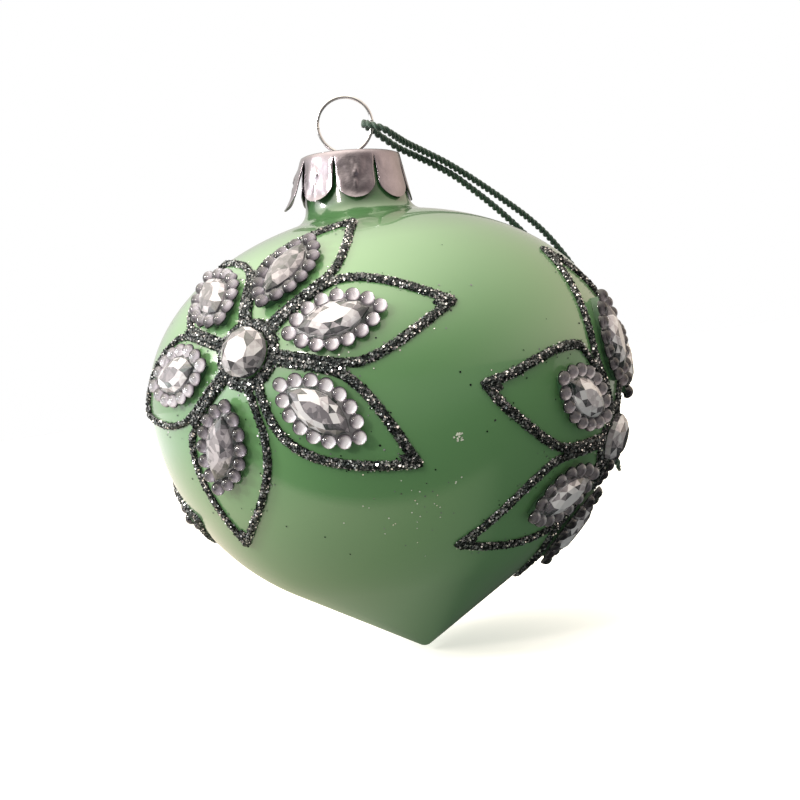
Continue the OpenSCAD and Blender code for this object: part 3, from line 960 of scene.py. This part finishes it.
def add_flake(verts, faces, slots, at, n, size, rng, slot):
    side = n.orthogonal().normalized()
    b = n.cross(side)
    spin = rng.uniform(0, math.pi)
    base = len(verts)
    for k in range(FLAKE_SIDES):
        a = spin + 2 * math.pi * k / FLAKE_SIDES
        verts.append(at + size * (math.cos(a) * side + math.sin(a) * b))
    faces.append(tuple(range(base, base + FLAKE_SIDES)))
    slots.append(slot)


def pick_flake(rng):
    # slot 0 of a glitter line is its glue
    v = rng.random()
    return 1 + (CHARCOAL if v < CHARCOAL_SHARE else GREY if v < CHARCOAL_SHARE + GREY_SHARE else SILVER)


def scatter_flakes(verts, faces, slots, point, ahead, rng):
    q, n, half, high = point
    t = ahead - q
    side = n.cross(t).normalized()
    for _ in range(int(t.length * half * FLAKES_PER_AREA + rng.random())):
        a = math.pi * rng.random()
        out, up = -math.cos(a) * half * FLAKE_OUT, math.sin(a) * high * FLAKE_UP + FLAKE_LIFT
        spot = q + t * rng.random() + side * out + n * up
        facing = (side * -math.cos(a) + n * (FLAKE_FACES_UP + math.sin(a))).normalized()
        tilt = jitter(facing, FLAKE_TILT, rng)
        size = rng.uniform(*FLAKE_SIZE)
        add_flake(verts, faces, slots, spot, tilt, size, rng, pick_flake(rng))
    if rng.random() < STRAYS_PER_MM * t.length:
        aside = rng.choice((-1, 1)) * (half + rng.expovariate(STRAY_FALL))
        spot, normal = on_glass(from_middle(q + side * aside))
        tilt = jitter(normal, STRAY_TILT, rng)
        size = rng.uniform(*STRAY_SIZE)
        add_flake(verts, faces, slots, spot + normal * STRAY_LIFT, tilt, size, rng, pick_flake(rng))


def add_ridge(verts, faces, slots, path, rng, closed=False):
    base, count = len(verts), len(path)
    for i, (q, n, half, high) in enumerate(path):
        if closed:
            back, fore = path[(i - 1) % count], path[(i + 1) % count]
        else:
            back, fore = path[max(i - 1, 0)], path[min(i + 1, count - 1)]
        side = n.cross((fore[0] - back[0]).normalized()).normalized()
        wide = half * (1 + WIDTH_LUMPS * noise.noise(q * 0.9))
        tall = high * (1 + HEIGHT_LUMPS * noise.noise(q * 1.3 + Vector((5, 0, 0))))
        for k in range(RIDGE_SECTION):
            a = math.pi * k / (RIDGE_SECTION - 1)
            lump = 1 + SURFACE_LUMPS * noise.noise(q * 2.6 + side * math.cos(a) * 3)
            out = -math.cos(a) * wide * lump
            up = RIDGE_LIFT + math.sin(a) * tall * RIDGE_UNDER_FLAKES * lump
            verts.append(q + side * out + n * up)
    for i in range(count if closed else count - 1):
        i2 = (i + 1) % count
        for k in range(RIDGE_SECTION - 1):
            lo, hi = base + i * RIDGE_SECTION + k, base + i2 * RIDGE_SECTION + k
            faces.append((lo, lo + 1, hi + 1, hi))
            slots.append(0)
        scatter_flakes(verts, faces, slots, path[i], path[i2][0], rng)


def petal_line(f, p):
    line = [outline_point(f, p, i / LINE_STEPS) for i in range(-LINE_STEPS, LINE_STEPS + 1)]
    return [(q, n, f["line"][p] * half, LINE_H) for q, n, half in line]


def shared_run(f, p):
    # the run of glue that two neighbours share, from the middle to where they part
    run = []
    for i in range(SHARED_STEPS):
        along = SHARED_FROM + SHARED_STEP * i
        a, b = outline_at(f, p, 1, along), outline_at(f, (p + 1) % PETALS, -1, along)
        apart = (a - b).length
        if apart > SHARED_APART:
            break
        run.append((*on_glass(from_middle((a + b) / 2)), max(SHARED_LEAST, apart / 2 - SHARED_INSET), LINE_H))
    return run


def filled_corner(f, p):
    # the glue that fills the corner at a petal's tip, narrow and low where it starts
    corner = []
    for i in range(CORNER_STEPS + 1):
        along = f["tip_reach"][p] - CORNER_L * (1 - i / CORNER_STEPS)
        a, b = outline_at(f, p, 1, along), outline_at(f, p, -1, along)
        filled = min((a - b).length / 2, CORNER_HALF) * min(1, 0.15 + i / 5)
        half, high = max(0.2 + 0.03 * i, filled), LINE_H * min(1, 0.25 + i / 7)
        corner.append((*on_glass(from_middle((a + b) / 2)), half, high))
    return corner


def make_glitter(f, fi):
    rng = random.Random(40 + fi)
    verts, faces, slots = [], [], []
    for p in range(PETALS):
        add_ridge(verts, faces, slots, petal_line(f, p), rng)
        shared = shared_run(f, p)
        if len(shared) > 2:
            add_ridge(verts, faces, slots, shared, rng)
        add_ridge(verts, faces, slots, filled_corner(f, p), rng)
    collar = [petal_dir(f, 360 * i / COLLAR_STEPS, COLLAR_R, 0) for i in range(COLLAR_STEPS)]
    add_ridge(verts, faces, slots, [(*on_glass(u), COLLAR_HALF, COLLAR_H) for u in collar], rng, closed=True)
    obj = add_mesh(f"flower_{fi + 1}_glitter_line", verts, faces, [GLITTER] + FLAKES, "bulb", slots=slots)
    obj.data.polygons.foreach_set("use_smooth", [k == 0 for k in slots])
    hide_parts(f"flower_{fi + 1}_glitter_outline")


for index, flower in enumerate(FLOWERS):
    for petal in range(PETALS):
        make_petal_stone(flower, index, petal)
    make_centre_stone(flower, index)
    make_glitter(flower, index)
    dress(f"flower_{index + 1}_glue_beds", GLUE)


# Stray flakes on the glass
SPECK_LIFT = 0.06
DARK_SPECKS = 90
DUST_SPECKS = 40
PALE_PATCH_SPECKS = 16
PALE_PATCH_TURN = 14.7
PALE_PATCH_RISE = -14.6


def make_specks():
    rng = random.Random(11)
    verts, faces, slots = [], [], []

    def drop(turn, rise, size, slot):
        spot, n = on_glass(direction(math.radians(turn - 90), math.radians(rise)))
        add_flake(verts, faces, slots, spot + n * SPECK_LIFT, n, size, rng, slot)

    # dark specks all round, pale dust low on the front, and one small patch of pale specks
    for _ in range(DARK_SPECKS):
        drop(rng.uniform(-180, 180), rng.gauss(-4, 17), rng.uniform(0.1, 0.22),
             rng.choice((CHARCOAL, CHARCOAL, CHARCOAL, GREY)))
    for _ in range(DUST_SPECKS):
        drop(rng.gauss(3, 7), rng.gauss(-30, 5), rng.uniform(0.1, 0.17),
             rng.choice((PALE, PALE, SILVER, GREY)))
    for _ in range(PALE_PATCH_SPECKS):
        drop(PALE_PATCH_TURN + rng.uniform(-1.4, 1.4), PALE_PATCH_RISE + rng.uniform(-0.9, 0.9),
             rng.uniform(0.16, 0.24), PALE)
    obj = add_mesh("stray_flakes", verts, faces, FLAKES, "bulb", smooth=False, slots=slots)


make_specks()


# Crown cap: pressed sheet with creased tongues
CAP_LEAN = Matrix.Rotation(math.radians(5), 3, "Y")
CAP_CLEAR = 0.36
CAP_CLEAR_FROM = MOUTH_Z - 0.4
CAP_HOLE_R = 1.3
CAP_COLS = 40
DRESSED_SHEET = 0.26
WELD = 2e-6
TONGUE_BEND = [0, 1, 2, 0, 1, 2, 12, 1]
TONGUE_PITCH = math.pi / TONGUES
TONGUE_ROOT = CAP_TOP - 0.75
TONGUE_ROWS = 22
TONGUE_NARROWS = 0.35
TONGUE_LEAST_HALF = 0.02
SLIT_OPENS_BY = 1 / 5
LONG_TONGUE = 6
LONG_TONGUE_MORE = 0.8
CREASE_H = 0.26
CREASE_W = 0.24
BAR_H = 0.34
BAR_DROP = 4.2
DENT_H = 0.2
LIP_H = 0.22
LIP_DROP = 6.6
# Places across one tongue, from -1 to 1
ACROSS = [2 * c / CAP_COLS - 1 for c in range(CAP_COLS + 1)]


def skirt_r(z):
    return MOUTH_R + CAP_PLAY + (MOUTH_Z - z) * NECK_TAPER


def askew(r, a, z):
    # the cap sits at a slight lean, pushed out where the sheet would touch the neck
    pivot = Vector((0, 0, CAP_TOP))
    p = pivot + CAP_LEAN @ (Vector((r * math.cos(a), r * math.sin(a), z)) - pivot)
    room = MOUTH_R + (MOUTH_Z - p.z) * NECK_TAPER + CAP_CLEAR
    flat = math.hypot(p.x, p.y)
    if p.z < CAP_CLEAR_FROM and flat < room:
        p.x, p.y = p.x * room / flat, p.y * room / flat
    return p


def cap_top_rows(az):
    edge = skirt_r(CAP_TOP) + CAP_SHEET
    profile = ((CAP_HOLE_R, CAP_TOP - 0.05), (CAP_HOLE_R + 0.3, CAP_TOP), (4.0, CAP_TOP), (6.5, CAP_TOP),
               (edge - 1.0, CAP_TOP),
               (edge - 0.45, CAP_TOP - 0.03), (edge - 0.14, CAP_TOP - 0.17), (edge, CAP_TOP - 0.5),
               (skirt_r(TONGUE_ROOT) + CAP_SHEET, TONGUE_ROOT))
    return [[(r, az + TONGUE_PITCH * s, z) for s in ACROSS] for r, z in profile]


def tongue_relief(k, x, drop):
    # a wavy crease with a bar pressed across it, dents, and a lip at the foot
    wave = -0.1 + 0.3 * math.sin(2.4 * drop + 0.6) * (1 if drop < 4.6 else 0.15)
    fade = math.sin(math.pi * clamp((drop - 0.9) / 5.8))
    crease = CREASE_H * math.exp(-((x - wave) / CREASE_W) ** 2) * fade
    bar = -BAR_H * math.exp(-((drop - BAR_DROP) / 0.3) ** 2 - ((x + 0.3) / 0.32) ** 2)
    dent = DENT_H * noise.noise(Vector((x * 0.6 + 7 * k, drop * 0.42, 3.1 * k)))
    lip = LIP_H * max(0, (drop - LIP_DROP) / 1.6) ** 2
    return crease + bar + dent * min(1, drop / 1.5) + lip


def tongue_share(t):
    # rows run evenly at first, then closer together towards the round end
    if t > 0.5:
        return math.sin(t * math.pi / 2) ** 0.9
    return lerp(0, math.sin(math.pi / 4) ** 0.9, t / 0.5)


def tongue_rows(k, az):
    foot = CAP_TOP - SKIRT_H - (LONG_TONGUE_MORE if k == LONG_TONGUE else 0)
    lean = math.tan(math.radians(TONGUE_BEND[k]))
    end_r = (2 * skirt_r(foot) * math.sin(TONGUE_PITCH) - SLIT) / 2
    end_z = foot + end_r
    rows = []
    for i in range(1, TONGUE_ROWS + 1):
        t = i / TONGUE_ROWS
        z = lerp(TONGUE_ROOT, foot, tongue_share(t))
        r, drop = skirt_r(z), TONGUE_ROOT - z
        half = r * TONGUE_PITCH - lerp(0.0, SLIT / 2, min(1, t / SLIT_OPENS_BY)) - TONGUE_NARROWS * t
        if z < end_z:
            half = min(half, math.sqrt(max(end_r ** 2 - (end_z - z) ** 2, TONGUE_LEAST_HALF ** 2)))
        out = r + CAP_SHEET + lean * drop
        rows.append([(out + tongue_relief(k, s * half, drop), az + s * half / r, z) for s in ACROSS])
    return rows


def make_cap():
    bm = bmesh.new()
    for k in range(TONGUES):
        az = math.radians(360 * k / TONGUES - 90 + CAP_TURN)
        rows = cap_top_rows(az) + tongue_rows(k, az)
        grid = [[bm.verts.new(askew(*place) * MM) for place in row] for row in rows]
        for lo, hi in zip(grid, grid[1:]):
            for c in range(CAP_COLS):
                bm.faces.new((lo[c], hi[c], hi[c + 1], lo[c + 1]))
    bmesh.ops.remove_doubles(bm, verts=bm.verts, dist=WELD)
    bmesh.ops.recalc_face_normals(bm, faces=bm.faces)
    mesh = bpy.data.meshes.new("crown_cap_pressed")
    bm.to_mesh(mesh)
    bm.free()
    mesh.materials.append(CAP_METAL)
    mesh.polygons.foreach_set("use_smooth", [True] * len(mesh.polygons))
    obj = bpy.data.objects.new("crown_cap_pressed", mesh)
    bpy.context.collection.objects.link(obj)
    thick = obj.modifiers.new("sheet", "SOLIDIFY")
    thick.thickness = DRESSED_SHEET * MM
    thick.offset = -1
    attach(obj, "cap")
    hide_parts("crown_cap")


make_cap()
dress("hanger_wire", WIRE_METAL)


# Floor and studio light
FLOOR_Z = -107.8
FLOOR_HALF = 4000.0
# Place of the lamps, in metres
LAMP_AIM = Vector((0, 0, -0.05))
LAMP_FAR = 0.6
# Soft glows of the room: direction, narrowness and colour
ROOM_GLOWS = (((-0.3, -0.12, 0.95), 2.6, (3.5, 3.25, 2.75)),
              ((-0.5, 0.85, 0.05), 2.0, (0.65, 0.65, 0.62)),
              ((0.93, 0, 0.37), 3.0, (0.5, 0.41, 0.37)),
              ((0, 0, 1), 0.0, (0.14, 0.125, 0.125)))
# Pale boards that only the shiny surfaces mirror
BOARDS = (((0.95, -0.2, 0.1), 3.0, (0.42, 0.37, 0.31)),
          ((0.85, 0.45, 0.1), 3.0, (0.6, 0.49, 0.34)),
          ((-0.97, -0.22, 0.12), 9.0, (3.0, 3.05, 3.1)))


def mirrored_table(tree, coords):
    # painted reflection of the table for shiny surfaces: pale on the left, a dark strip in front, and a
    # painted shadow of the part on the table behind it to the right
    place = axes(tree, coords)
    front = math_node(tree, "MINIMUM", place["Y"], 0.0)
    slant = math_node(tree, "MULTIPLY_ADD", front, 0.9, place["X"])
    across = map_range(tree, slant, From_Min=-0.30, From_Max=0.30)
    # the dark stretch here is a painted shadow of the part on the table
    sideways = ramp(tree, across, [
        (0.0, (1.35, 1.35, 1.28)), (0.36, (1.2, 1.05, 0.85)), (0.44, (0.54, 0.55, 0.37)),
        (0.48, (0.36, 0.4, 0.28)), (0.51, (0.05, 0.05, 0.05)), (0.7, (0.03, 0.03, 0.03)),
        (0.9, (0.5, 0.48, 0.42))])
    depth = map_range(tree, place["Y"], From_Min=-0.30, From_Max=-0.05)
    frontal = ramp(tree, depth, [
        (0.0, (0.3, 0.28, 0.28)), (0.4, (0.22, 0.21, 0.21)), (0.72, (0.04, 0.04, 0.04)),
        (0.92, (0.02, 0.02, 0.02))])
    near = ramp(tree, depth, [(0.945, (0, 0, 0)), (0.978, (1, 1, 1))])
    return mix(tree, near, frontal, sideways)


def floor_material():
    m, tree, shader = material("pale_floor")
    coords = object_coords(tree)
    grain = texture(tree, "ShaderNodeTexNoise", coords, Scale=40.0, Detail=4.0)
    pale = ramp(tree, grain.outputs["Fac"], [(0.3, (0.88, 0.88, 0.85)), (0.7, (0.92, 0.92, 0.89))])
    tree.links.new(pale, shader.inputs["Base Color"])
    set_inputs(shader, Roughness=0.9, Specular_IOR_Level=0.1,
               Emission_Color=(1, 1, 0.95, 1), Emission_Strength=0.5)
    # the camera sees the pale floor, and the part gets a dimmer light from it
    dim = tree.nodes.new("ShaderNodeEmission")
    bounce = mix(tree, light_path(tree, "Is Glossy Ray"), (0.42, 0.44, 0.41, 1), mirrored_table(tree, coords))
    tree.links.new(bounce, dim.inputs["Color"])
    either = tree.nodes.new("ShaderNodeMixShader")
    seen = light_path(tree, "Is Camera Ray")
    for socket, source in zip(either.inputs, (seen, dim.outputs[0], shader.outputs[0])):
        tree.links.new(source, socket)
    tree.links.new(either.outputs[0], tree.nodes["Material Output"].inputs["Surface"])
    return m


def make_floor():
    mesh = bpy.data.meshes.new("floor")
    s, z = FLOOR_HALF * MM, FLOOR_Z * MM
    mesh.from_pydata([(-s, -s, z), (s, -s, z), (s, s, z), (-s, s, z)], [], [(0, 1, 2, 3)])
    mesh.materials.append(floor_material())
    floor = bpy.data.objects.new("floor", mesh)
    bpy.context.collection.objects.link(floor)


def vector_math(tree, operation, a, b):
    n = tree.nodes.new("ShaderNodeVectorMath")
    n.operation = operation
    feed(tree, n.inputs[0], a)
    feed(tree, n.inputs["Scale" if operation == "SCALE" else 1], b)
    return n.outputs["Value" if operation == "DOT_PRODUCT" else 0]


def summed_glows(tree, way, glows):
    total = None
    for towards, narrow, colour in glows:
        dot = vector_math(tree, "DOT_PRODUCT", way, Vector(towards).normalized())
        facing = math_node(tree, "MAXIMUM", dot, 0.0)
        part = vector_math(tree, "SCALE", colour, math_node(tree, "POWER", facing, narrow))
        total = vector_math(tree, "ADD", total, part) if total else part
    return total


def make_world():
    world = bpy.data.worlds.new("studio")
    bpy.context.scene.world = world
    world.use_nodes = True
    tree = world.node_tree
    way = tree.nodes.new("ShaderNodeTexCoord").outputs["Generated"]
    room, mirror = summed_glows(tree, way, ROOM_GLOWS), summed_glows(tree, way, ROOM_GLOWS + BOARDS)
    lit = mix(tree, light_path(tree, "Is Glossy Ray"), room, mirror)
    seen = mix(tree, light_path(tree, "Is Camera Ray"), lit, (1, 1, 1, 1))
    tree.links.new(seen, tree.nodes["Background"].inputs["Color"])


def make_lamp(name, towards, size, power, colour):
    data = bpy.data.lights.new(name, "AREA")
    data.shape = "DISK"
    data.size = size
    data.energy = power
    data.color = colour
    lamp = bpy.data.objects.new(name, data)
    lamp.location = LAMP_AIM + Vector(towards).normalized() * LAMP_FAR
    lamp.rotation_euler = Vector(towards).to_track_quat("Z", "Y").to_euler()
    bpy.context.collection.objects.link(lamp)


make_floor()
make_world()
make_lamp("lamp_side", LAMP_SIDE, size=0.12, power=2.2, colour=(1, 0.97, 0.93))
make_lamp("lamp_front", LAMP_FRONT, size=0.08, power=1.0, colour=(1, 0.92, 0.87))
scene = bpy.context.scene
scene.view_settings.view_transform = "Standard"
scene.view_settings.look = "None"
